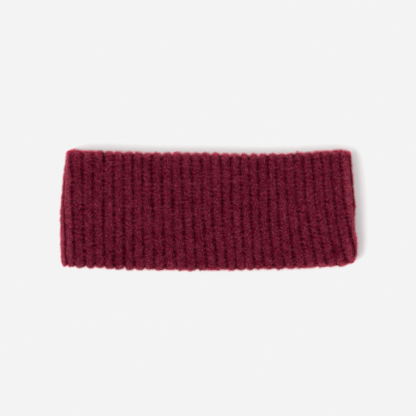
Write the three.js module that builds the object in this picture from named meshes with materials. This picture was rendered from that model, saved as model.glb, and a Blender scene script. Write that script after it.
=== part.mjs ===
// A baby headband: a tube of chunky one-by-one rib knit that lies flat in two layers.
// Millimetres. +X runs along the band, +Y from its lower edge to its upper edge, +Z up.
// The band lies on z = 0, and the origin is under the middle of its box.
import * as THREE from 'three';

// The knitted wall
const RIBS = 60; // ribs all the way round the tube
const WALL = 3.8; // thickness from the crest of the outside ribs to the crest of the inside ribs
const GROOVE_DEPTH = 1.3; // the same on both faces
const EDGE_SCALLOP = 0.8; // how far a rib's end stands past the groove beside it

// The tube as it lies: two flat layers joined by a bend at each end
const LAYER_GAP = 4.5; // clear height between the layers, half-way along
const FOLD_RADIUS = 4.5; // of the bends, at mid-wall
const SETTLE_LENGTH = 34; // the upper layer comes down from the bends over this length

// The long edges, which curve a little, like a smile: y at some x
const LONG_EDGES = [
  { x: -92, upper: 38.9, lower: -36.1 },
  { x: -60, upper: 37.4, lower: -37.7 },
  { x: -30, upper: 36.8, lower: -38.3 },
  { x: 0, upper: 36.4, lower: -38.5 },
  { x: 30, upper: 35.9, lower: -37.9 },
  { x: 60, upper: 36.9, lower: -36.9 },
  { x: 92, upper: 38.9, lower: -34.9 },
];

// The short ends. across goes from 0 at the upper edge to 1 at the lower edge, left and right are
// the x of the folds there, and wall is the share of the wall's thickness, rounded off at the edges.
const OUTLINE = [
  { across: 0.0, left: -91.3, right: 90.8, wall: 0.55 },
  { across: 0.025, left: -91.5, right: 91.0, wall: 0.92 },
  { across: 0.12, left: -92.2, right: 91.5, wall: 1 },
  { across: 0.32, left: -93.5, right: 92.6, wall: 1 },
  { across: 0.52, left: -94.6, right: 93.8, wall: 1 },
  { across: 0.72, left: -94.6, right: 94.3, wall: 1 },
  { across: 0.86, left: -94.6, right: 95.0, wall: 1 },
  { across: 0.975, left: -94.2, right: 94.1, wall: 0.92 },
  { across: 1.0, left: -94.1, right: 93.8, wall: 0.55 },
];

// The four corners are rounded: the edge turns in over a length along x, by a depth along y.
const CORNERS = {
  upperLeft: { length: 5, depth: 5 },
  upperRight: { length: 6, depth: 4.5 },
  lowerLeft: { length: 5, depth: 2.5 },
  lowerRight: { length: 10, depth: 5.5 },
};

// Where some of the grooves of the upper layer run, along the surface from mid-length:
// x at the upper edge and at the lower edge. Those near the right fold lean towards it.
const FRONT_GROOVES = [
  { groove: 0, upper: -87.3, lower: -85.0 },
  { groove: 4, upper: -60.4, lower: -60.3 },
  { groove: 8, upper: -36.3, lower: -34.4 },
  { groove: 12, upper: -11.1, lower: -7.3 },
  { groove: 16, upper: 13.9, lower: 17.7 },
  { groove: 20, upper: 37.2, lower: 41.8 },
  { groove: 24, upper: 59.8, lower: 69.2 },
  { groove: 28, upper: 83.4, lower: 94.6 },
];
const LAST_FRONT_GROOVE = 28;

// One rib, from groove to groove: along is the share of its width, rise of the groove's depth.
// The crest is flat, where the rib is pressed on the table.
const OUTSIDE_RIB = [
  { along: 0.0, rise: 0.0 },
  { along: 0.15, rise: 0.68 },
  { along: 0.35, rise: 1.0 },
  { along: 0.65, rise: 1.0 },
  { along: 0.85, rise: 0.68 },
];
// An inside rib has its crest behind the outside groove.
const INSIDE_RIB = [
  { along: 0.0, rise: 1.0 },
  { along: 0.25, rise: 0.65 },
  { along: 0.5, rise: 0.0 },
  { along: 0.75, rise: 0.65 },
];

const WOOL_COLOUR = 0x621629;

// Sizes that follow
const BEND_TOP = WALL / 2 + 2 * FOLD_RADIUS; // mid-wall height of the upper layer at the bends
const SAG = BEND_TOP - (WALL + LAYER_GAP + WALL / 2);

// A smooth curve through the rows of a table, column against key
function through(rows, key, column, at) {
  const last = rows.length - 1;
  let i = 0;
  while (i < last - 1 && rows[i + 1][key] < at) i += 1;
  const slope = (a, b) => (rows[b][column] - rows[a][column]) / (rows[b][key] - rows[a][key]);
  const before = slope(Math.max(i - 1, 0), Math.min(i + 1, last));
  const after = slope(i, Math.min(i + 2, last));
  const span = rows[i + 1][key] - rows[i][key];
  const t = (at - rows[i][key]) / span;
  const [t2, t3] = [t * t, t * t * t];
  return (
    rows[i][column] * (2 * t3 - 3 * t2 + 1)
    + before * span * (t3 - 2 * t2 + t)
    + rows[i + 1][column] * (3 * t2 - 2 * t3)
    + after * span * (t3 - t2)
  );
}

// The upper layer's ribs lean more and more towards the lower edge.
function leanShare(across) {
  return 0.5 * across + 0.5 * across ** 3;
}

// The mid-wall line of the tube at one row of the outline
function section({ left, right }) {
  const leftBend = left + WALL / 2 + FOLD_RADIUS;
  const rightBend = right - WALL / 2 - FOLD_RADIUS;
  const flat = rightBend - leftBend;
  const bend = Math.PI * FOLD_RADIUS;
  return { leftBend, rightBend, flat, bend, girth: 2 * (flat + bend) };
}

// The point of that line at arc, which is x on the upper layer and goes on round the right fold,
// back along the lower layer and round the left fold, and the direction out of the tube there
function pointAt(line, arc) {
  const middle = WALL / 2 + FOLD_RADIUS;
  let s = arc;
  if (s < line.leftBend) s += line.girth;
  if (s >= line.leftBend + line.girth) s -= line.girth;
  if (s <= line.rightBend) {
    const fromBend = Math.min(s - line.leftBend, line.rightBend - s);
    const sag = SAG * THREE.MathUtils.smoothstep(fromBend, 0, SETTLE_LENGTH);
    return { x: s, z: BEND_TOP - sag, outX: 0, outZ: 1 };
  }
  s -= line.rightBend;
  if (s < line.bend) {
    const turn = s / FOLD_RADIUS;
    const [outX, outZ] = [Math.sin(turn), Math.cos(turn)];
    return { x: line.rightBend + FOLD_RADIUS * outX, z: middle + FOLD_RADIUS * outZ, outX, outZ };
  }
  s -= line.bend;
  if (s <= line.flat) return { x: line.rightBend - s, z: WALL / 2, outX: 0, outZ: -1 };
  const turn = (s - line.flat) / FOLD_RADIUS;
  const [outX, outZ] = [-Math.sin(turn), -Math.cos(turn)];
  return { x: line.leftBend + FOLD_RADIUS * outX, z: middle + FOLD_RADIUS * outZ, outX, outZ };
}

// Where a rib runs at one row: those of the upper layer by the table, the others evenly spaced
function ribArc(rib, across, girth) {
  const edgeToEdge = (groove) => {
    const upper = through(FRONT_GROOVES, 'groove', 'upper', groove);
    const lower = through(FRONT_GROOVES, 'groove', 'lower', groove);
    return upper + (lower - upper) * leanShare(across);
  };
  if (rib <= LAST_FRONT_GROOVE) return edgeToEdge(rib);
  const start = edgeToEdge(LAST_FRONT_GROOVE);
  const end = edgeToEdge(0) + girth;
  return start + ((end - start) * (rib - LAST_FRONT_GROOVE)) / (RIBS - LAST_FRONT_GROOVE);
}

// How far a rounded corner takes the edge in, at a distance from the end of the band
function cornerInset({ length, depth }, fromEnd) {
  const share = THREE.MathUtils.clamp(1 - fromEnd / length, 0, 1);
  return depth * (1 - Math.sqrt(1 - share * share));
}

// The y of a point of the wall, between the upper and the lower edge
function crossPlace(x, across, rise) {
  const scallop = EDGE_SCALLOP * (1 - rise);
  const [top, bottom] = [OUTLINE[0], OUTLINE.at(-1)];
  const upperInset = cornerInset(CORNERS.upperLeft, x - top.left)
    + cornerInset(CORNERS.upperRight, top.right - x);
  const lowerInset = cornerInset(CORNERS.lowerLeft, x - bottom.left)
    + cornerInset(CORNERS.lowerRight, bottom.right - x);
  const upper = through(LONG_EDGES, 'x', 'upper', x) - scallop - upperInset;
  const lower = through(LONG_EDGES, 'x', 'lower', x) + scallop + lowerInset;
  return THREE.MathUtils.lerp(upper, lower, across);
}

// One face of the wall, side 1 outside or -1 inside: a ring of points for each row of the outline
function faceOfWall(profile, side) {
  const ribs = Array.from({ length: RIBS }, (_, i) => i);
  const steps = ribs.flatMap((i) => profile.map(({ along, rise }) => ({ rib: i + along, rise })));
  const rings = OUTLINE.map((row) => {
    const line = section(row);
    return steps.map(({ rib, rise }) => {
      const at = pointAt(line, ribArc(rib, row.across, line.girth));
      const off = side * row.wall * (WALL / 2 - GROOVE_DEPTH * (1 - rise));
      const x = at.x + at.outX * off;
      return [x, crossPlace(x, row.across, rise), at.z + at.outZ * off];
    });
  });
  return { rings, ribOf: steps.map(({ rib }) => rib) };
}

// Triangles between two rings that go the same way round, stepping on whichever is behind
function joinRings(a, b, ribOfA, ribOfB, faces) {
  let [i, j] = [0, 0];
  const [n, m] = [a.length, b.length];
  while (i < n || j < m) {
    const nextA = i < n ? (i + 1 < n ? ribOfA[i + 1] : RIBS) : Infinity;
    const nextB = j < m ? (j + 1 < m ? ribOfB[j + 1] : RIBS) : Infinity;
    if (nextA <= nextB) {
      faces.push(a[i % n], b[j % m], a[(i + 1) % n]);
      i += 1;
    } else {
      faces.push(a[i % n], b[j % m], b[(j + 1) % m]);
      j += 1;
    }
  }
}

function bandGeometry() {
  const outside = faceOfWall(OUTSIDE_RIB, 1);
  const inside = faceOfWall(INSIDE_RIB, -1);
  const points = [...outside.rings.flat(), ...inside.rings.flat()];
  const index = (count, first) => OUTLINE.map((_, row) => (
    Array.from({ length: count }, (__, i) => first + row * count + i)
  ));
  const outer = index(outside.ribOf.length, 0);
  const inner = index(inside.ribOf.length, outside.rings.flat().length);
  const faces = [];
  for (let row = 0; row + 1 < OUTLINE.length; row += 1) {
    joinRings(outer[row], outer[row + 1], outside.ribOf, outside.ribOf, faces);
    joinRings(inner[row + 1], inner[row], inside.ribOf, inside.ribOf, faces);
  }
  joinRings(inner[0], outer[0], inside.ribOf, outside.ribOf, faces);
  joinRings(outer.at(-1), inner.at(-1), outside.ribOf, inside.ribOf, faces);
  const geometry = new THREE.BufferGeometry();
  geometry.setAttribute('position', new THREE.Float32BufferAttribute(points.flat(), 3));
  geometry.setIndex(faces);
  geometry.computeBoundingBox();
  const middle = geometry.boundingBox.getCenter(new THREE.Vector3());
  geometry.translate(-middle.x, -middle.y, -geometry.boundingBox.min.z);
  geometry.computeVertexNormals();
  return geometry;
}

const wool = new THREE.MeshStandardMaterial({ color: WOOL_COLOUR, roughness: 0.95, metalness: 0 });
const band = new THREE.Mesh(bandGeometry(), wool);
band.name = 'rib_knit_band';

const headband = new THREE.Group();
headband.add(band);

export default headband;
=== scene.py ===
# A baby headband: a tube of chunky one-by-one rib knit in brushed wool, lying flat in two layers.
# Metres. +X runs along the band, +Y from its lower edge to its upper edge, +Z up from the floor.
import math

import bpy
import numpy as np
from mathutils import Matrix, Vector


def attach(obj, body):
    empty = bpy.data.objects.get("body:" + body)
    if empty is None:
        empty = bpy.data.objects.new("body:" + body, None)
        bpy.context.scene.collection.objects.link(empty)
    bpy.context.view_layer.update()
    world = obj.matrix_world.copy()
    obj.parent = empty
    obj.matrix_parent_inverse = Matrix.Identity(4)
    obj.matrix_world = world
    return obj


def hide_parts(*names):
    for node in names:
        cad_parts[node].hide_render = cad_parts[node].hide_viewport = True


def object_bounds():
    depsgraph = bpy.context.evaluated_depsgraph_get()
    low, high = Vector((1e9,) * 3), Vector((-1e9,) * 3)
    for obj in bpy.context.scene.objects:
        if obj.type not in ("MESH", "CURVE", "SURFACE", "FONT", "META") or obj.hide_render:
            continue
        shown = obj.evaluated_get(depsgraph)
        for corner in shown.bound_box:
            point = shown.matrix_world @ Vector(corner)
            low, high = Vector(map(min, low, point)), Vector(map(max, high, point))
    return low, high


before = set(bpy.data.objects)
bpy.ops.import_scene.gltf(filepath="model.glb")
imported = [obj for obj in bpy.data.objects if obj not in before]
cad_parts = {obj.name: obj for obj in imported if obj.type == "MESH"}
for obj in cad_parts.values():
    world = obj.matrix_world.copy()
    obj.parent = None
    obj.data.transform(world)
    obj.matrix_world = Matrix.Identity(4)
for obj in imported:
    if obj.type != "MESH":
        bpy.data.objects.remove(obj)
cad_low, cad_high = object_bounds()

MM = 0.001

# The knitted wall
RIBS = 60  # all the way round the tube
WALL = 3.8 * MM  # thickness from the outside of the fuzz to the crests of the inside ribs
NAP = 0.3 * MM  # how much of that is fuzz over the outside ribs
FLOOR_NAP = 0.1 * MM  # the same where the band lies on the floor
GROOVE_DEPTH = 2.05 * MM  # between two outside ribs
INSIDE_GROOVE_DEPTH = 1.3 * MM
RIB_BLUNTNESS = 0.85  # 0.5 gives half a circle or ellipse, 1 a sharper crest

# The ribs' ends along the long edges
EDGE_SCALLOP = (1.3 * MM, 1.6 * MM)  # how far a rib's upper and lower end stand past the groove
UNEVEN_SCALLOP = 0.55  # as a share of that, from one groove to another
UNEVEN_ENDS = 0.4 * MM  # how far the ribs' ends stand out of line
UNDER_SET_BACK = 0.35 * MM  # of the under layer from the other's lower edge
EDGE_FRAY = 0.35 * MM  # small waves along the long edges
EDGES_APART = 9.0  # rows between the random values of the two edges' waves
RIGHT_END = (45 * MM, 75 * MM)  # from x to x the lower edge gets smoother and gets more painted glow
SMOOTHER_END = 0.5  # share of the scallops' depth that is missing beyond that

# Painted shading of the wool: 0 is painted shade deep in a groove, 1 a crest, and more is painted glow
# standing in for light coming through it
PAINTED_SHADE_DEPTH = 1.5 * MM  # wool this far below the ribs' crests has 0, full painted shade
INSIDE_PAINTED_SHADING = 0.3  # on the crests of the inside ribs, so the inside is painted in shade
RIM_GLOW_DEPTH = 1.6 * MM  # painted glow, standing for light coming through the wool, lies this near to an edge
UPPER_RIM_GLOW = 1.15  # how much painted glow that adds on a crest at the upper edge
LOWER_RIM_GLOW = 0.9  # and at the lower edge
RIM_GLOW_AT_END = 0.6  # share of painted glow that is added to the last beyond the right end's stretch
RIM_GLOW_IN_GROOVE = 0.1  # share of all this painted glow that is left in a groove
FOLD_GLOW = {"left": 1.1, "right": 0.9}  # painted glow added where the wool turns down at the folds
FOLD_SHOULDER = (0.45, 1.0)  # from which tilt to which, in radians, that grows
FOLD_SIDE = (1.1, 1.5)  # and from which to which it shrinks again on the outer side
SIDE_SHARE = 0.2  # to this share, which also holds for the lower half of a fold
SOFT_OPEN = {"left": 0.33, "right": 0.42}  # painted glow added on the crests of the ribs beside the folds
SOFT_REACH = (-0.8 * MM, 1.8 * MM)  # from where on a bend to where on the flat that fades out

# The tube as it lies: two flat layers joined by a bend at each end
LAYER_GAP = 4.5 * MM  # clear height between the layers, half-way along the band
FOLD_RADIUS = 4.5 * MM  # of the bends, at mid-wall
SETTLE_LENGTH = 34 * MM  # the upper layer comes down from the bends over this length
BEND_TOP = WALL / 2 + 2 * FOLD_RADIUS  # mid-wall height of the upper layer at the bends
SAG = BEND_TOP - (WALL + LAYER_GAP + WALL / 2)

# The long edges, which curve a little, like a smile: y in mm at some x
LONG_EDGES = {
    "x": (-92, -60, -30, 0, 30, 60, 92),
    "upper": (38.9, 37.4, 36.8, 36.4, 35.9, 36.9, 38.9),
    "lower": (-36.1, -37.7, -38.3, -38.5, -38.1, -37.2, -35.1),
}
BAND_WIDTH = 74.9 * MM  # between them at mid-length

# The folds' x in mm, at shares of the way from the upper edge to the lower edge
FOLDS = {
    "across": (0.0, 0.025, 0.12, 0.32, 0.52, 0.72, 0.86, 0.975, 1.0),
    "left": (-91.3, -91.6, -92.6, -93.6, -94.7, -94.6, -94.6, -94.0, -93.9),
    "right": (90.8, 91.1, 91.8, 92.9, 93.9, 93.9, 94.7, 94.7, 94.4),
}

# Each rounded corner in mm: the edge turns in over a length along x, by a depth along y
CORNERS = {
    "upper_left": {"length": 5, "depth": 5},
    "upper_right": {"length": 6, "depth": 4.5},
    "lower_left": {"length": 5, "depth": 2.5},
    "lower_right": {"length": 12, "depth": 5.4},
}

# Where some grooves of the upper layer run, counted from the left: x in mm at the two long edges
GROOVES = {
    "groove": (0, 4, 8, 12, 16, 20, 24, 28),
    "upper": (-87.3, -60.4, -36.3, -11.1, 13.9, 37.2, 59.8, 83.4),
    "lower": (-85.0, -60.3, -34.4, -7.3, 17.7, 41.8, 69.2, 94.6),
}
LAST_FRONT_GROOVE = 28
LEFT_FOLD_GROOVE = 59  # runs just under the left fold
LEFT_FOLD_SHIFT = 1.0 * MM  # nearer to the upper layer than even spacing would put it
LATE_LEAN = 0.5  # share of a groove's lean that comes late on its way to the lower edge

# The stitches
COURSES = 27  # rows of stitches from edge to edge
LEG_SLANT = 0.75  # courses that a stitch's leg rises from the rib's middle to its side
LEG_WANDER = 0.3  # courses that a leg lies too high or too low
LEG_RELIEF = 0.28 * MM
LEG_FULLNESS = 0.7  # 1 gives legs with the section of a sine wave, less gives rounder ones
UNEVEN_LEGS = 0.35  # as a share of their relief
LEGS_IN_GROOVE = 0.35  # share of the legs' relief that is left in a groove
MIDDLE_DIP = 0.16 * MM  # along a rib's middle, between the legs
MIDDLE_WIDTH = 0.09  # of a rib
SWAY = 0.34 * MM  # how far a rib wanders sideways
SWELL = 0.3 * MM  # how far the upper layer rises and falls
LUMPS = 0.22 * MM
LUMP_SHARES = (0.9, 0.8)  # of that, in coarse and in fine lumps
FOLD_LUMPS = 1.6  # the lumps at the folds are this much higher
LUMPY_TURN = 0.5  # how much less than 1 the upward part of the wall's direction is for that

# The yarn in the grooves
BRIDGED = 0.79  # how full a groove is where yarn crosses it
PIT = 0.56  # how much of that is missing between two crossings
PIT_WIDTH = 0.9  # 1 gives pits like cosine waves, less gives wider ones
PIT_WANDER = 0.5  # courses that a pit lies too high or too low
SHALLOWEST_PIT = 0.4  # as a share of the deepest
CLOSING = 0.12  # how much the filling varies along a groove
FULLEST = 0.9
SPREAD_AT_FOLD = 0.75  # how much of the filling is missing where the ribs spread round a fold
SPREAD_TURN = 0.35  # how much less than 1 the upward part of the wall's direction is there
SPREAD_COURSES = (8, 14)  # from which course to which that begins at the left fold

# How finely the wall is divided
FINE_STEPS = 14  # columns for each outside rib on the upper layer and the folds
COARSE_STEPS = 7  # the same underneath
CROWDED, EVEN = 0.55, 0.45  # shares of their spacing that crowd on a rib's steep sides and that don't
INSIDE_STEPS = 5
FIRST_UNDER_RIB = 31
LAST_UNDER_RIB = 56
ROWS = 108  # rows of points from edge to edge
INSIDE_ROWS = 28
EDGE_ROWS = 6  # round each edge, besides those
EDGE_RADIUS = 1.9 * MM
EDGE_START = 0.14  # where the first of those lies, in radians round the edge

# Random values by courses: rows before the first course, and rows beyond the number of courses
EARLY = 3
SPARE = 8

# The unit square on which the colours can be baked: from which height to which each part lies
OUTSIDE_PLACE = (0.3, 1.0)
INSIDE_PLACE = (0.05, 0.29)
UPPER_STRIP_PLACE = (0.026, 0.046)
LOWER_STRIP_PLACE = (0.002, 0.022)
HALF_FILLED = 0.98  # share of its height that each half of the outside takes up
FIBRE_MARGIN = 0.1  # share of its own small square that a fibre leaves free on each side


class Noise:
    """Smooth random values from -1 to 1 over ribs and courses, alike at both ends of a full turn."""

    def __init__(self, seed, cells_per_rib, cells_per_course):
        self.cells = (cells_per_rib, cells_per_course)
        self.turn = max(1, round(RIBS * cells_per_rib))
        shape = (self.turn, math.ceil(COURSES * cells_per_course) + SPARE)
        self.values = np.random.default_rng(seed).uniform(-1, 1, shape)

    def __call__(self, rib, course):
        rib, course = np.broadcast_arrays(rib * self.cells[0], course * self.cells[1] + EARLY)
        column, row = np.floor(rib).astype(int), np.floor(course).astype(int)
        u, v = smooth(rib - column), smooth(course - row)
        row = np.clip(row, 0, self.values.shape[1] - 2)

        def at(i, j):
            return self.values[(column + i) % self.turn, row + j]

        return (at(0, 0) * (1 - u) + at(1, 0) * u) * (1 - v) + (at(0, 1) * (1 - u) + at(1, 1) * u) * v


def smooth(share):
    """The share itself at 0, half and 1, and level at both ends."""
    share = np.clip(share, 0, 1)
    return share * share * (3 - 2 * share)


def step(value, start, end):
    """0 up to start, 1 past end, and smooth between them."""
    return smooth((value - start) / (end - start))


def by_side(x, values):
    """The left or the right value, on its side of the band's middle."""
    return np.where(x < 0, values["left"], values["right"])


def through(table, key, column, at):
    """A smooth curve through a table's columns, which are in mm, read at some places."""
    keys, values = np.array(table[key], float), np.array(table[column], float)
    last = len(keys) - 1
    i = np.clip(np.searchsorted(keys[1:], at, side="left"), 0, last - 1)

    def slope(a, b):
        return (values[b] - values[a]) / (keys[b] - keys[a])

    before = slope(np.maximum(i - 1, 0), np.minimum(i + 1, last))
    after = slope(i, np.minimum(i + 2, last))
    span = keys[i + 1] - keys[i]
    t = (at - keys[i]) / span
    t2, t3 = t * t, t * t * t
    start = values[i] * (2 * t3 - 3 * t2 + 1) + before * span * (t3 - 2 * t2 + t)
    return (start + values[i + 1] * (3 * t2 - 2 * t3) + after * span * (t3 - t2)) * MM


class Line:
    """The mid-wall line round the tube, for a column of shares of the way across the band."""

    def __init__(self, across):
        self.left_bend = through(FOLDS, "across", "left", across) + WALL / 2 + FOLD_RADIUS
        self.right_bend = through(FOLDS, "across", "right", across) - WALL / 2 - FOLD_RADIUS
        self.flat = self.right_bend - self.left_bend
        self.bend = math.pi * FOLD_RADIUS
        self.girth = 2 * (self.flat + self.bend)

    def point(self, arc):
        """x, z and the direction out of the tube at arc, which is x on the upper layer and goes on
        round the right bend, the under layer and the left bend."""
        s = np.where(arc < self.left_bend, arc + self.girth, arc)
        s = np.where(s >= self.left_bend + self.girth, s - self.girth, s)
        from_bend = np.minimum(s - self.left_bend, self.right_bend - s)
        over_z = BEND_TOP - SAG * smooth(from_bend / SETTLE_LENGTH)
        middle = WALL / 2 + FOLD_RADIUS
        right_turn = (s - self.right_bend) / FOLD_RADIUS
        under = s - self.right_bend - self.bend
        left_turn = (under - self.flat) / FOLD_RADIUS
        stretch = [s <= self.right_bend, right_turn < math.pi, under <= self.flat]

        def pick(upper, right, lower, left):
            return np.select(stretch, [upper, right, lower], left)

        out_x = pick(0, np.sin(right_turn), 0, -np.sin(left_turn))
        out_z = pick(1, np.cos(right_turn), -1, -np.cos(left_turn))
        bend_x = pick(s, self.right_bend, self.right_bend - under, self.left_bend)
        bend_z = middle + FOLD_RADIUS * out_z
        return bend_x + FOLD_RADIUS * out_x, pick(over_z, bend_z, WALL / 2, bend_z), out_x, out_z


def rib_arc(rib, across, girth):
    """Where a rib runs: on the upper layer by the table, elsewhere evenly spaced."""
    lean = (1 - LATE_LEAN) * across + LATE_LEAN * across**3

    def groove(number):
        upper = through(GROOVES, "groove", "upper", number)
        lower = through(GROOVES, "groove", "lower", number)
        return upper + (lower - upper) * lean

    start = groove(LAST_FRONT_GROOVE)
    end = groove(0) + girth
    beyond = (rib - LAST_FRONT_GROOVE) / (RIBS - LAST_FRONT_GROOVE)
    front = groove(np.minimum(rib, LAST_FRONT_GROOVE))
    shift = LEFT_FOLD_SHIFT * np.clip(1 - np.abs(rib - LEFT_FOLD_GROOVE), 0, 1)
    return np.where(rib <= LAST_FRONT_GROOVE, front, start + (end - start) * beyond + shift)


def corner_inset(name, from_end):
    """How far a rounded corner sets the edge back, from_end being the way along x to the fold."""
    corner = CORNERS[name]
    share = np.clip(1 - from_end / (corner["length"] * MM), 0, 1)
    return corner["depth"] * MM * (1 - np.sqrt(1 - share * share))


def right_end(x):
    """0 along most of the band, 1 near its right end."""
    return step(x, *RIGHT_END)


def cross_place(x, across, rib, rise, under):
    """y between the upper and the lower edge, with scalloped edges and rounded corners."""
    left, right = np.array(FOLDS["left"]) * MM, np.array(FOLDS["right"]) * MM
    upper_inset = corner_inset("upper_left", x - left[0]) + corner_inset("upper_right", right[0] - x)
    lower_inset = corner_inset("lower_left", x - left[-1]) + corner_inset("lower_right", right[-1] - x)
    number, groove = np.floor(rib).astype(int) % RIBS, np.round(rib).astype(int) % RIBS

    def set_back(edge):  # 0 is the upper edge, 1 the lower edge
        notch = EDGE_SCALLOP[edge] * (1 - rise) * (1 + UNEVEN_SCALLOP * notch_random[edge, groove])
        notch = notch * (1 - SMOOTHER_END * edge * right_end(x))
        fray = EDGE_FRAY * fray_noise(rib, EDGES_APART * edge)
        return NAP + notch + UNEVEN_ENDS * rise * end_random[edge, number] + fray

    upper = through(LONG_EDGES, "x", "upper", x / MM) - set_back(0) - upper_inset
    lower = through(LONG_EDGES, "x", "lower", x / MM) + set_back(1) + lower_inset
    lower = lower + UNDER_SET_BACK * under
    return upper + (lower - upper) * across


def rib_rise(rib):
    """A rib's round cross-section: 0 in the groove, 1 on the crest."""
    side = np.abs(2 * (rib - np.floor(rib)) - 1)
    return (1 - side**2) ** RIB_BLUNTNESS


def steps_across(steps):
    """Shares of a rib's width, closer together on its steep sides."""
    turn = (np.arange(steps) / steps - 0.5) * math.pi
    return 0.5 + 0.5 * np.sin(turn) * CROWDED + EVEN * turn / math.pi


def outside_columns():
    """Where the outside's columns of points lie, counted in ribs round the tube."""
    ribs = []
    for rib in range(RIBS):
        under = FIRST_UNDER_RIB <= rib <= LAST_UNDER_RIB
        ribs.append(rib + steps_across(COARSE_STEPS if under else FINE_STEPS))
    return np.concatenate(ribs)


def inside_columns():
    """The same for the inside."""
    return np.arange(RIBS * INSIDE_STEPS) / INSIDE_STEPS


def rows_across(count):
    """Shares of the way from the upper to the lower edge and of the wall's thickness there."""
    turn = np.linspace(EDGE_START, math.pi / 2, EDGE_ROWS + 1)
    near = EDGE_RADIUS * (1 - np.cos(turn)) / BAND_WIDTH
    middle = np.linspace(near[-1], 1 - near[-1], count + 2)[1:-1]
    across = np.concatenate([near, middle, 1 - near[::-1]])
    thick = np.concatenate([np.sin(turn), np.ones(count), np.sin(turn[::-1])])
    return across, thick


# Each noise has a seed, and so many random values to a rib and to a course
sway_noise = Noise(11, 1, 0.3)
lump_noise = Noise(12, 3, 1.7)
fine_noise = Noise(13, 7, 4.1)
closing_noise = Noise(14, 1, 0.55)
dot_noise = Noise(15, 1, 0.4)
swell_noise = Noise(16, 0.2, 0.12)
fray_noise = Noise(21, 3, 1)
leg_random = np.random.default_rng(17).uniform(-1, 1, (RIBS, 2, COURSES + SPARE))
pit_random = np.random.default_rng(18).uniform(0, 1, (RIBS, COURSES + SPARE))
notch_random = np.random.default_rng(19).uniform(-1, 1, (2, RIBS))
end_random = np.random.default_rng(20).uniform(-1, 1, (2, RIBS))


def stitch_relief(rib, course):
    """The two slanting legs of each stitch on a rib, from 0 between legs to about 1 on them."""
    number = np.floor(rib).astype(int) % RIBS
    place = 2 * (rib - np.floor(rib)) - 1
    side = (place > 0).astype(int)
    slanted = course + LEG_SLANT * np.abs(place) + LEG_WANDER * dot_noise(rib, course) + EARLY
    leg = np.clip(np.floor(slanted).astype(int), 0, COURSES + SPARE - 1)
    bulge = np.sin(math.pi * (slanted - np.floor(slanted))) ** LEG_FULLNESS
    return bulge * (1 + UNEVEN_LEGS * leg_random[number, side, leg])


def groove_filling(rib, course):
    """How full a groove is: a pit in each course, some deep and some nearly closed."""
    groove = np.round(rib)
    place = course + PIT_WANDER * dot_noise(groove, course) + EARLY
    number = np.clip(np.floor(place).astype(int), 0, COURSES + SPARE - 1)
    hollow = (0.5 - 0.5 * np.cos(2 * math.pi * place)) ** PIT_WIDTH
    strength = SHALLOWEST_PIT + (1 - SHALLOWEST_PIT) * pit_random[groove.astype(int) % RIBS, number]
    filling = BRIDGED - PIT * strength * hollow + CLOSING * closing_noise(groove, course)
    return np.clip(filling, 0, FULLEST)


def outside_height(rib, course, under, x, out_z):
    """From mid-wall to the outside of the knit, and the rib's own rise."""
    rise = rib_rise(rib)
    begun = np.where(x < 0, step(course, *SPREAD_COURSES), 1)
    folded = smooth((1 - np.abs(out_z)) / SPREAD_TURN) * begun
    filled = rise + (1 - rise) * groove_filling(rib, course) * (1 - SPREAD_AT_FOLD * folded)
    nap = NAP + (FLOOR_NAP - NAP) * under
    return WALL / 2 - nap - GROOVE_DEPTH * (1 - filled), rise


def relief(rib, course, rise, folded):
    """The stitches' legs, the dip between them and the lumps, folded being 1 at the folds."""
    middle = np.exp(-(((rib - np.floor(rib) - 0.5) / MIDDLE_WIDTH) ** 2))
    legs = LEGS_IN_GROOVE + (1 - LEGS_IN_GROOVE) * rise
    stitches = LEG_RELIEF * (stitch_relief(rib, course) - 1) * legs
    coarse, fine = LUMP_SHARES
    lumps = LUMPS * (coarse * lump_noise(rib, course) + fine * fine_noise(rib, course))
    lumps = lumps * (1 + (FOLD_LUMPS - 1) * folded)
    return stitches + lumps - MIDDLE_DIP * middle


def inside_depth(rib):
    """From mid-wall to the inside, whose crests lie behind the outside grooves."""
    return -(WALL / 2 - INSIDE_GROOVE_DEPTH * (1 - rib_rise(rib + 0.5)))


def painted_rim_glow(x, across, out_z, rise, line):
    """How much painted glow the wool gets near the edges, where it turns down at the folds and beside
    them.
    """
    upper = UPPER_RIM_GLOW * np.exp(-across * BAND_WIDTH / RIM_GLOW_DEPTH)
    lower = LOWER_RIM_GLOW * np.exp(-(1 - across) * BAND_WIDTH / RIM_GLOW_DEPTH)
    lower = lower * (1 + RIM_GLOW_AT_END * right_end(x))
    tilt = np.arccos(np.clip(np.abs(out_z), 0, 1))
    fold = by_side(x, FOLD_GLOW) * step(tilt, *FOLD_SHOULDER)
    beside = np.minimum(x - line.left_bend, line.right_bend - x)
    # painted glow on the crests of the ribs beside the folds
    soft = by_side(x, SOFT_OPEN) * rise * (1 - step(beside, *SOFT_REACH))
    # the painted glow at a fold is weaker on its outer side and on its lower half
    upper_half_share = np.where(out_z > 0, 1 - (1 - SIDE_SHARE) * step(tilt, *FOLD_SIDE), SIDE_SHARE)
    return np.maximum(np.maximum(upper, lower), np.maximum(fold, soft) * upper_half_share)


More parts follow.
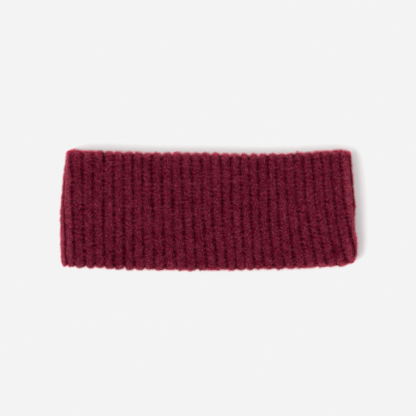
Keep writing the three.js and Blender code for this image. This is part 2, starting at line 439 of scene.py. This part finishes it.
def wall_face(rib, count, outside):
    """One face of the wall in rows of points: the points, their painted shade and glow, and how far it
    faces up.

    count is the number of rows between those round the two edges."""
    across, thick = rows_across(count)
    rib, across, thick = rib[None, :], across[:, None], thick[:, None]
    course = across * COURSES
    line = Line(across)
    arc = rib_arc(rib, across, line.girth) + SWAY * sway_noise(rib, course)
    x, z, out_x, out_z = line.point(arc)
    under = smooth(-out_z)
    height, rise = outside_height(rib, course, under, x, out_z)
    depth = inside_depth(rib)
    heart = (height + depth) / 2
    if outside:
        bumps = relief(rib, course, rise, smooth((1 - np.abs(out_z)) / LUMPY_TURN))
        off = heart + thick * (height - heart) + thick * bumps
        off = np.where(under > 0.5, np.minimum(off, WALL / 2 - FLOOR_NAP), off)
        # painted shade by depth below the crests, then painted glow near the edges and folds
        painted_shading = np.clip(1 - (WALL / 2 - NAP - height - bumps) / PAINTED_SHADE_DEPTH, 0, 1)
        rim_share = RIM_GLOW_IN_GROOVE + (1 - RIM_GLOW_IN_GROOVE) * rise
        painted_shading = painted_shading + painted_rim_glow(x, across, out_z, rise, line) * rim_share
    else:
        off = heart + thick * (depth - heart)
        # the inside is painted in shade, lightest on its crests
        painted_shading = np.broadcast_to(INSIDE_PAINTED_SHADING * rib_rise(rib + 0.5), x.shape)
    x = x + out_x * off
    y = cross_place(x, across, rib, rise, under)
    z = z + out_z * off + SWELL * swell_noise(rib, course) * smooth(out_z)
    return np.stack([x, y, z], -1), painted_shading, out_z


def grid_faces(rows, columns, first, outward):
    """Quads between rows of points that close on themselves."""
    number = first + np.arange(rows * columns).reshape(rows, columns)
    right = np.roll(number, -1, axis=1)
    quads = np.stack([number[:-1], number[1:], right[1:], right[:-1]], -1).reshape(-1, 4)
    return quads if outward else quads[:, ::-1]


def strip_faces(upper, lower, upper_rib, lower_rib):
    """Triangles between two closed rows, stepping on whichever is behind, and their flat places."""
    faces, flat = [], []
    i = j = 0
    upper_rib, lower_rib = np.append(upper_rib, RIBS), np.append(lower_rib, RIBS)
    while i < len(upper) or j < len(lower):
        step_upper = j == len(lower) or (i < len(upper) and upper_rib[i + 1] <= lower_rib[j + 1])
        first, second = upper[i % len(upper)], lower[j % len(lower)]
        places = [(upper_rib[i] / RIBS, 1), (lower_rib[j] / RIBS, 0)]
        if step_upper:
            i += 1
            faces.append((first, second, upper[i % len(upper)]))
            flat.append([*places, (upper_rib[i] / RIBS, 1)])
        else:
            j += 1
            faces.append((first, second, lower[j % len(lower)]))
            flat.append([*places, (lower_rib[j] / RIBS, 0)])
    return np.array(faces), np.array(flat)


def flat_grid(rib, rows, outward):
    """Where the corners of a grid's quads lie when the face is rolled out, from 0 to 1 each way."""
    along = np.append(rib, RIBS) / RIBS
    across = 1 - np.arange(rows) / (rows - 1)
    place = np.stack(np.broadcast_arrays(along[None, :], across[:, None]), -1)
    quads = np.stack([place[:-1, :-1], place[1:, :-1], place[1:, 1:], place[:-1, 1:]], 2)
    quads = quads.reshape(-1, 4, 2)
    return quads if outward else quads[:, ::-1]


def on_sheet(flat, low, high):
    """Flat places moved into a level part of the unit square, between two heights."""
    return flat * np.array([1, high - low]) + np.array([0, low])


def two_halves(flat, low, high):
    """The same with the second half of the length under the first."""
    second = flat[:, :, 0].mean(1) > 0.5
    along = 2 * flat[..., 0] - second[:, None]
    height = (high - low) / 2 * HALF_FILLED
    across = np.where(second[:, None], low, (low + high) / 2) + height * flat[..., 1]
    return np.stack([along, across], -1)


def new_mesh(name, points, face_groups, material, painted_shading=None, flat=None):
    """An object from points and groups of faces, the faces of a group all having as many corners.

    flat has each corner's place on the sheet on which the colours can be baked."""
    mesh = bpy.data.meshes.new(name)
    mesh.vertices.add(len(points))
    mesh.vertices.foreach_set("co", points.astype(np.float32).ravel())
    corners = np.concatenate([group.ravel() for group in face_groups])
    sizes = np.concatenate([np.full(len(group), group.shape[1]) for group in face_groups])
    mesh.loops.add(len(corners))
    mesh.loops.foreach_set("vertex_index", corners.astype(np.int32))
    mesh.polygons.add(len(sizes))
    mesh.polygons.foreach_set("loop_start", (np.cumsum(sizes) - sizes).astype(np.int32))
    mesh.update(calc_edges=True)
    mesh.shade_smooth()
    # each point's painted shading, which the material turns into colour
    if painted_shading is not None:
        layer = mesh.attributes.new("painted_shading", "FLOAT", "POINT")
        layer.data.foreach_set("value", painted_shading.astype(np.float32).ravel())
    if flat is not None:
        layer = mesh.uv_layers.new(name="OFBake")
        layer.uv.foreach_set("vector", flat.astype(np.float32).ravel())
    mesh.materials.append(material)
    made = bpy.data.objects.new(name, mesh)
    bpy.context.collection.objects.link(made)
    return made


def in_place(points, low, high):
    """Points moved so that the middle of their box is over the middle of the solid's."""
    shift = [(cad_low[i] + cad_high[i] - low[i] - high[i]) / 2 for i in (0, 1)]
    return points + np.array([shift[0], shift[1], 0])


def new_material(name):
    """A material, its node tree and its shader."""
    material = bpy.data.materials.new(name)
    material.use_nodes = True
    return material, material.node_tree, material.node_tree.nodes["Principled BSDF"]


def set_values(node, values):
    """Constants for some of a node's inputs."""
    for name, value in values.items():
        node.inputs[name].default_value = value


def scaled(tree, output, factor, added):
    """An output times a factor, plus a constant or another output."""
    node = tree.nodes.new("ShaderNodeMath")
    node.operation = "MULTIPLY_ADD"
    tree.links.new(output, node.inputs[0])
    node.inputs[1].default_value = factor
    if isinstance(added, float):
        node.inputs[2].default_value = added
    else:
        tree.links.new(added, node.inputs[2])
    return node.outputs[0]


def noise_over(tree, values):
    """A noise texture over the object's own coordinates."""
    place = tree.nodes.new("ShaderNodeTexCoord")
    node = tree.nodes.new("ShaderNodeTexNoise")
    set_values(node, values)
    tree.links.new(place.outputs["Object"], node.inputs["Vector"])
    return node.outputs["Fac"]


def colour_ramp(tree, stops):
    """A colour ramp through (place, colour) stops."""
    node = tree.nodes.new("ShaderNodeValToRGB")
    ramp = node.color_ramp
    ramp.elements.remove(ramp.elements[1])
    ramp.elements[0].position, ramp.elements[0].color = stops[0][0], (*stops[0][1], 1)
    for place, colour in stops[1:]:
        ramp.elements.new(place).color = (*colour, 1)
    return node


# The wool's tone, from 0 in painted shade deep in a groove to the palest in painted glow on single
# fibres at the very edge, is a base and shares of the painted shading, of clumps of fibres and of
# broad changes over the band
PALEST = 1.4
TONE_BASE = -0.9
PAINTED_SHADING_SHARE = 0.62
CLUMP_SHARE = 1.6
DRIFT_SHARE = 0.12
SATURATION_SHARE = 0.16  # how much the saturation varies from patch to patch

# The noise textures for all that
# the clumps' noise is random tone, and in part painted shade between clumps of fibres
CLUMPS = {"Scale": 1200.0, "Detail": 2.0, "Roughness": 0.75}
DRIFT = {"Scale": 45.0, "Detail": 2.0, "Roughness": 0.5}
PATCHES = {"Scale": 260.0, "Detail": 3.0, "Roughness": 0.6}
HAIRS = {"Scale": 2600.0, "Detail": 4.0, "Roughness": 0.7}  # on the wall, finer than the fibres
HAIR_BUMP = {"Strength": 0.55, "Distance": 0.3 * MM}

# Linear colours of the wool at some tones, from painted shade to painted glow. The wall's are darker
# than the fibres', painted shade under the fuzz
WALL_TONES = [
    (0.05, (0.020, 0.0001, 0.0024)),
    (0.35, (0.060, 0.0014, 0.0088)),
    (0.65, (0.120, 0.0092, 0.0232)),
    (1.0, (0.240, 0.0340, 0.0590)),
    (PALEST, (0.400, 0.0520, 0.0940)),
]
FIBRE_TONES = [
    (0.05, (0.030, 0.0001, 0.0037)),
    (0.35, (0.090, 0.0028, 0.0140)),
    (0.65, (0.220, 0.0205, 0.0460)),
    (1.0, (0.600, 0.0800, 0.1450)),
    (PALEST, (1.000, 0.1150, 0.2150)),
]

# How the wool answers light
SHEEN = (1.0, 0.2, 0.35, 1)
WALL_LOOK = {
    "Sheen Weight": 0.35,
    "Sheen Roughness": 0.4,
    "Sheen Tint": SHEEN,
    "Roughness": 0.95,
    "Specular IOR Level": 0.0,
}
FIBRE_LOOK = {
    "Sheen Weight": 0.12,
    "Sheen Roughness": 0.4,
    "Sheen Tint": SHEEN,
    "Roughness": 0.75,
    "Specular IOR Level": 0.05,
}


def wool_colour(tree, tones):
    """The wool's colour from its painted shading, clumps of fibres and broad changes."""
    # the painted shading sets most of the tone, from painted shade to painted glow
    painted_shading = tree.nodes.new("ShaderNodeAttribute")
    painted_shading.attribute_name = "painted_shading"
    value = scaled(tree, painted_shading.outputs["Fac"], PAINTED_SHADING_SHARE / PALEST, TONE_BASE / PALEST)
    value = scaled(tree, noise_over(tree, CLUMPS), CLUMP_SHARE / PALEST, value)
    value = scaled(tree, noise_over(tree, DRIFT), DRIFT_SHARE / PALEST, value)
    ramp = colour_ramp(tree, [(tone / PALEST, colour) for tone, colour in tones])
    tree.links.new(value, ramp.inputs["Fac"])
    saturation = scaled(tree, noise_over(tree, PATCHES), SATURATION_SHARE, 1 - SATURATION_SHARE / 2)
    tint = tree.nodes.new("ShaderNodeHueSaturation")
    tree.links.new(ramp.outputs["Color"], tint.inputs["Color"])
    tree.links.new(saturation, tint.inputs["Saturation"])
    return tint.outputs["Color"]


def wool_material(name, tones, look):
    """Wool in some tones, and its node tree and shader."""
    material, tree, shader = new_material(name)
    tree.links.new(wool_colour(tree, tones), shader.inputs["Base Color"])
    set_values(shader, look)
    return material, tree, shader


def knit_material():
    """The wall's wool, with fine hairs as bump."""
    material, tree, shader = wool_material("brushed_wool_knit", WALL_TONES, WALL_LOOK)
    bump = tree.nodes.new("ShaderNodeBump")
    set_values(bump, HAIR_BUMP)
    tree.links.new(noise_over(tree, HAIRS), bump.inputs["Height"])
    tree.links.new(bump.outputs["Normal"], shader.inputs["Normal"])
    return material


def knit_wall():
    """The whole wall as one closed mesh, and its outside face for the fibres."""
    outside_rib, inside_rib = outside_columns(), inside_columns()
    outer, outer_painted_shading, outer_facing = wall_face(outside_rib, ROWS, True)
    inner, inner_painted_shading, _ = wall_face(inside_rib, INSIDE_ROWS, False)
    low, high = outer.min((0, 1)), outer.max((0, 1))
    outer, inner = in_place(outer, low, high), in_place(inner, low, high)
    points = np.concatenate([outer.reshape(-1, 3), inner.reshape(-1, 3)])
    outer_count = outer_painted_shading.size
    outer_number = np.arange(outer_count).reshape(outer_painted_shading.shape)
    inner_number = outer_count + np.arange(inner_painted_shading.size).reshape(inner_painted_shading.shape)
    quads = np.concatenate([
        grid_faces(*outer_painted_shading.shape, 0, True),
        grid_faces(*inner_painted_shading.shape, outer_count, False),
    ])
    upper_strip, upper_flat = strip_faces(inner_number[0], outer_number[0], inside_rib, outside_rib)
    lower_strip, lower_flat = strip_faces(outer_number[-1], inner_number[-1], outside_rib, inside_rib)
    triangles = np.concatenate([upper_strip, lower_strip])
    flat_parts = [
        two_halves(flat_grid(outside_rib, len(outer), True), *OUTSIDE_PLACE),
        on_sheet(flat_grid(inside_rib, len(inner), False), *INSIDE_PLACE),
        on_sheet(upper_flat, *UPPER_STRIP_PLACE),
        on_sheet(lower_flat, *LOWER_STRIP_PLACE),
    ]
    flat_places = np.concatenate([part.reshape(-1, 2) for part in flat_parts])
    # the painted shading of both faces, for the wall's colour
    painted_shading = np.concatenate([outer_painted_shading.ravel(), inner_painted_shading.ravel()])
    wall = new_mesh("rib_knit_wall", points, [quads, triangles], knit_material(), painted_shading, flat_places)
    return wall, Face(outer, outer_painted_shading, outer_facing)


def unit(vectors):
    """Vectors brought to a length of 1."""
    return vectors / np.maximum(np.linalg.norm(vectors, axis=-1, keepdims=True), 1e-12)


class Face:
    """A face of the wall on which fibres grow."""

    def __init__(self, points, painted_shading, facing):
        down = np.gradient(points, axis=0)
        side = (np.roll(points, -1, axis=1) - np.roll(points, 1, axis=1)) / 2
        normal = np.cross(down, side)
        self.points = points
        self.painted_shading = painted_shading[..., None]
        self.facing = facing
        self.normal = unit(normal)
        self.along = unit(down)
        self.area = np.linalg.norm(normal, axis=-1)

    def sample(self, rng, count, weight):
        """Random places by area and weight: points, normals, directions along the rib, painted shading.
        """
        chance = (self.area * weight)[:-1].ravel()
        cell = rng.choice(len(chance), count, p=chance / chance.sum())
        row, column = np.divmod(cell, self.points.shape[1])
        v, u = rng.random((2, count, 1))
        beside = (column + 1) % self.points.shape[1]

        def between(values):
            upper = values[row, column] * (1 - u) + values[row, beside] * u
            lower = values[row + 1, column] * (1 - u) + values[row + 1, beside] * u
            return upper * (1 - v) + lower * v

        normal, along = unit(between(self.normal)), unit(between(self.along))
        return between(self.points), normal, along, between(self.painted_shading)


# Fibres
SIDES = 3
ROOT_DEPTH = 0.12 * MM  # a fibre starts this far under the wall's surface
LOWEST = FLOOR_NAP / 2  # height below which no fibre goes
UNEVEN_SLOPE = 0.28  # radians, from one stretch of a fibre to another
UPRIGHT = 0.9  # a direction with more z than this counts as upright
LIFT_HEIGHT = 1.4 * MM  # fibres that stand out this far are painted as much lighter as crests are than grooves
LIFT_LIMIT = 1.5  # painted shading of a fibre's tip at the most, before any painted glow
FIBRE_SHADE = 0.15  # painted shade: how much darker a fibre's root is painted than the wall
FIBRE_VARIETY = 0.45  # random tone, on the painted shading's scale, from one fibre to another
GLOW_FACING = (0.2, 0.6)  # upward part of the normal up to which fibres get painted glow in full, and past which not

# Where they grow, by weights that are about 1 on the ribs' crests
CREST_POWER = 1.5  # how quickly the nap thins out away from a crest
NAP_IN_GROOVES = 0.06
UNDER_FACING = -0.25  # a wall that faces up by less than this has the under layer's fibres
RIM_FACING = (0.3, 0.8)  # upward part up to which the outline's fibres grow, and past which not
FOLD_FACING = (0.2, 0.55)  # the same at the folds, of the direction out of the tube
EDGE_FACING = 0.5  # a wall that faces along y by more than this belongs to a long edge
RIM_POWER = 3  # how quickly the outline's fibres thin out away from a crest
EDGE_IN_GROOVES = 0.2
FOLD_IN_GROOVES = 0.04

# The kinds of fibre. Lengths and thicknesses run from one value in mm to another. The rises are the
# mean slopes of a fibre's stretches against the wall, the spread is how far it strays from the rib's
# direction, and the bend how far it turns after each stretch, in radians. The glow is painted light:
# how much paler a fibre is painted than others where it stands out of the band's outline
NAP_KIND = {"rises": (0.5, -0.05), "thickness": (0.07, 0.13), "spread": 0.6, "bend": 0.6}
EDGE_KIND = {"rises": (0.9, 0.3), "thickness": (0.08, 0.13), "spread": 1.5, "bend": 0.9}
FOLD_KIND = {**EDGE_KIND, "spread": 0.8}
LOOSE_KIND = {"rises": (0.9, 0.5, 0.0), "thickness": (0.05, 0.08), "spread": 1.5, "bend": 1.0}
KINDS = {
    "upper_short": {**NAP_KIND, "seed": 31, "count": 22000, "length": (0.6, 1.1)},
    "upper_middle": {**NAP_KIND, "seed": 32, "count": 22000, "length": (0.9, 1.5)},
    "upper_long": {**NAP_KIND, "seed": 33, "count": 22000, "length": (1.1, 1.9)},
    "under": {**NAP_KIND, "thickness": (0.08, 0.14), "seed": 41, "count": 12000, "length": (0.7, 1.7)},
    "upper_edge": {**EDGE_KIND, "seed": 51, "count": 8500, "length": (1.215, 2.7), "glow": 1.0},
    "lower_edge": {**EDGE_KIND, "seed": 52, "count": 8500, "length": (0.945, 2.1), "glow": 0.75},
    "left_fold": {**FOLD_KIND, "seed": 53, "count": 2600, "length": (1.215, 2.7), "glow": 0.55},
    "right_fold": {**FOLD_KIND, "seed": 54, "count": 2600, "length": (1.215, 2.7), "glow": 0.75},
    "loose": {**LOOSE_KIND, "seed": 55, "count": 4000, "length": (1.5, 3.6)},
}


def turned(direction, normal, angle):
    """Directions in the plane across normal, turned about it."""
    return direction * np.cos(angle) + np.cross(normal, direction) * np.sin(angle)


def spines(rng, place, normal, along, lengths, rises, spread, bend):
    """Each fibre's spine: a root under the surface and a point at the end of each stretch."""
    count = len(place)
    angle = rng.normal(0, spread, (count, 1)) + math.pi * rng.integers(0, 2, (count, 1))
    heading = turned(along, normal, angle)
    points = [place - normal * ROOT_DEPTH]
    for rise in rises:
        slope = rise + rng.normal(0, UNEVEN_SLOPE, (count, 1))
        stretch = lengths[:, None] / len(rises)
        points.append(points[-1] + stretch * (heading * np.cos(slope) + normal * np.sin(slope)))
        heading = turned(heading, normal, rng.normal(0, bend, (count, 1)))
    found = np.stack(points, 1)
    found[..., 2] = np.maximum(found[..., 2], LOWEST)
    return found


def fibre_object(name, spine, radius, painted_shading, material):
    """Closed thin fibres: a point at each end and a ring of points at each place between."""
    count, stations = spine.shape[:2]
    rings = stations - 2
    direction = unit(spine[:, 2:] - spine[:, :-2])
    helper = np.where(np.abs(direction[..., 2:]) > UPRIGHT, [1.0, 0, 0], [0, 0, 1.0])
    side = unit(np.cross(direction, helper))
    over = np.cross(side, direction)
    turn = (2 * math.pi * np.arange(SIDES) / SIDES)[:, None]
    round_spine = side[:, :, None] * np.cos(turn) + over[:, :, None] * np.sin(turn)
    ring = spine[:, 1:-1, None] + radius[:, None, None, None] * round_spine
    points = np.concatenate([spine[:, :1], ring.reshape(count, rings * SIDES, 3), spine[:, -1:]], 1)
    last = 1 + rings * SIDES
    pattern = []
    flat = []  # each corner's station and side, to 0 or 1

    def number(station, side):
        """A point's number in its fibre, whose first and last station are single points."""
        if station == 0:
            return 0
        return last if station > rings else 1 + (station - 1) * SIDES + side % SIDES

    def add_face(*corners):
        pattern.append([number(station, k + beside) for station, beside in corners])
        flat.append([(station / (rings + 1), beside) for station, beside in corners])

    for k in range(SIDES):
        add_face((0, 0.5), (1, 1), (1, 0))
        add_face((rings + 1, 0.5), (rings, 0), (rings, 1))
        for r in range(1, rings):
            add_face((r, 0), (r, 1), (r + 1, 0))
            add_face((r, 1), (r + 1, 1), (r + 1, 0))
    faces = np.array(pattern)[None] + (np.arange(count) * (last + 1))[:, None, None]
    cells = math.ceil(math.sqrt(count))
    cell = np.stack(np.divmod(np.arange(count), cells), -1)[:, None, None]
    flat_places = (cell + FIBRE_MARGIN + (1 - 2 * FIBRE_MARGIN) * np.array(flat)[None]) / cells
    in_rings = np.repeat(painted_shading[:, 1:-1], SIDES, axis=1)
    per_point = np.concatenate([painted_shading[:, :1], in_rings, painted_shading[:, -1:]], 1)
    faces = faces.reshape(-1, 3)
    return new_mesh(name, points.reshape(-1, 3), [faces], material, per_point, flat_places)


def grow(name, face, weight, material, seed, count, length, thickness, rises, spread, bend, glow=0):
    """Fibres of one kind at random places, more of them where the weight is higher."""
    rng = np.random.default_rng(seed)
    place, normal, along, painted_shading = face.sample(rng, count, weight)
    lengths = rng.uniform(*length, count) * MM
    spine = spines(rng, place, normal, along, lengths, rises, spread, bend)
    height = ((spine - place[:, None]) * normal[:, None]).sum(-1)
    # painted shading: darker at the root, lighter towards the tip, then painted glow at the outline
    painted_light_and_variety = np.clip(painted_shading - FIBRE_SHADE + height / LIFT_HEIGHT, 0, LIFT_LIMIT)
    painted_light_and_variety = painted_light_and_variety + glow * (1 - step(np.abs(normal[:, 2:]), *GLOW_FACING))
    radius = rng.uniform(*thickness, count) / 2 * MM
    painted_light_and_variety = painted_light_and_variety + rng.uniform(-FIBRE_VARIETY, FIBRE_VARIETY, (count, 1))
    return fibre_object(name, spine, radius, painted_light_and_variety, material)


def fuzz(face):
    """The brushed nap, its thicker rim round the band's outline, and a few long loose fibres."""
    y_out, z_out = face.normal[..., 1], face.normal[..., 2]
    left = face.points[..., 0] < 0
    crest = np.clip(face.painted_shading[..., 0], 0, 1) ** CREST_POWER
    crest = NAP_IN_GROOVES + (1 - NAP_IN_GROOVES) * crest
    upper = np.where(z_out > UNDER_FACING, crest, 0)
    on_rib = rib_rise(outside_columns()) ** RIM_POWER
    rim = 1 - step(np.abs(z_out), *RIM_FACING)
    edge = rim * (EDGE_IN_GROOVES + on_rib)
    fold = rim * (1 - step(np.abs(face.facing), *FOLD_FACING)) * (FOLD_IN_GROOVES + on_rib)
    weights = {
        "upper_short": upper,
        "upper_middle": upper,
        "upper_long": upper,
        "under": crest - upper,
        "upper_edge": edge * (y_out > EDGE_FACING),
        "lower_edge": edge * (y_out < -EDGE_FACING),
        "left_fold": fold * left,
        "right_fold": fold * ~left,
        "loose": crest,
    }
    material, _, _ = wool_material("wool_fibres", FIBRE_TONES, FIBRE_LOOK)
    return [grow(f"fuzz_{name}", face, weights[name], material, **kind) for name, kind in KINDS.items()]


# Floor and light
FLOOR_SIZE = 3.0
FLOOR_DROP = 0.05 * MM  # how far the floor is below the band
FLOOR_LOOK = {"Base Color": (0.81, 0.81, 0.81, 1), "Roughness": 1.0, "Specular IOR Level": 0.0}
SURROUND_LOOK = {"Color": (1, 1, 1, 1), "Strength": 0.9}
PAPER_WHITE = 0.896  # linear brightness of the white floor in the picture

# The lamps: energy, the angle in degrees that each one spans, and the direction that it comes from
LAMPS = {
    "key": {"energy": 3.6, "angle": 50, "comes_from": (-1.47, -0.5, 1.28)},
    "fill": {"energy": 2.8, "angle": 30, "comes_from": (0.8, 0.65, 0.1)},
}


def stage_floor():
    """A pale square floor just below the band."""
    corners = np.array([(-1, -1, 0), (1, -1, 0), (1, 1, 0), (-1, 1, 0)]) * FLOOR_SIZE / 2
    material, _, shader = new_material("pale_floor")
    set_values(shader, FLOOR_LOOK)
    floor = new_mesh("floor", corners, [np.array([[0, 1, 2, 3]])], material)
    floor.location.z = -FLOOR_DROP


def lamp(name, energy, angle, comes_from):
    """A lamp that shines on the whole scene from one direction."""
    data = bpy.data.lights.new(name, "SUN")
    data.energy = energy
    data.angle = math.radians(angle)
    made = bpy.data.objects.new(name, data)
    made.rotation_euler = Vector(comes_from).to_track_quat("Z", "Y").to_euler()
    bpy.context.collection.objects.link(made)


def studio_light():
    """A broad soft light from the left and a little from the lower edge's side, a low fill opposite
    it, and an even pale surround."""
    for name, values in LAMPS.items():
        lamp(name, **values)
    world = bpy.data.worlds.new("surround")
    world.use_nodes = True
    set_values(world.node_tree.nodes["Background"], SURROUND_LOOK)
    bpy.context.scene.world = world


def bright_exposure():
    """The floor is exposed past white, as in a bright product picture, and held at one tone."""
    view = bpy.context.scene.view_settings
    view.view_transform = "Standard"
    view.use_curve_mapping = True
    view.curve_mapping.extend = "HORIZONTAL"
    view.curve_mapping.curves[3].points[-1].location = (1.0, PAPER_WHITE)
    view.curve_mapping.update()


# The camera looks straight down
FRAME_WIDTH = 266.24 * MM  # of the picture, at the height of the middle of the folds
FRAME_MIDDLE = (-0.5 * MM, 1.42 * MM)
CAMERA_HEIGHT = 1.2  # above that
SENSOR_WIDTH = 36.0


def overhead_camera():
    """A camera over the band, with the picture's frame."""
    data = bpy.data.cameras.new("camera")
    data.sensor_width = SENSOR_WIDTH
    data.lens = SENSOR_WIDTH * CAMERA_HEIGHT / FRAME_WIDTH
    camera = bpy.data.objects.new("camera", data)
    camera.location = (*FRAME_MIDDLE, WALL / 2 + FOLD_RADIUS + CAMERA_HEIGHT)
    bpy.context.collection.objects.link(camera)
    bpy.context.scene.camera = camera


overhead_camera()
stage_floor()
studio_light()
bright_exposure()
band, outer_face = knit_wall()
fibres = fuzz(outer_face)
for piece in [band, *fibres]:
    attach(piece, "root")
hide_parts("rib_knit_band")
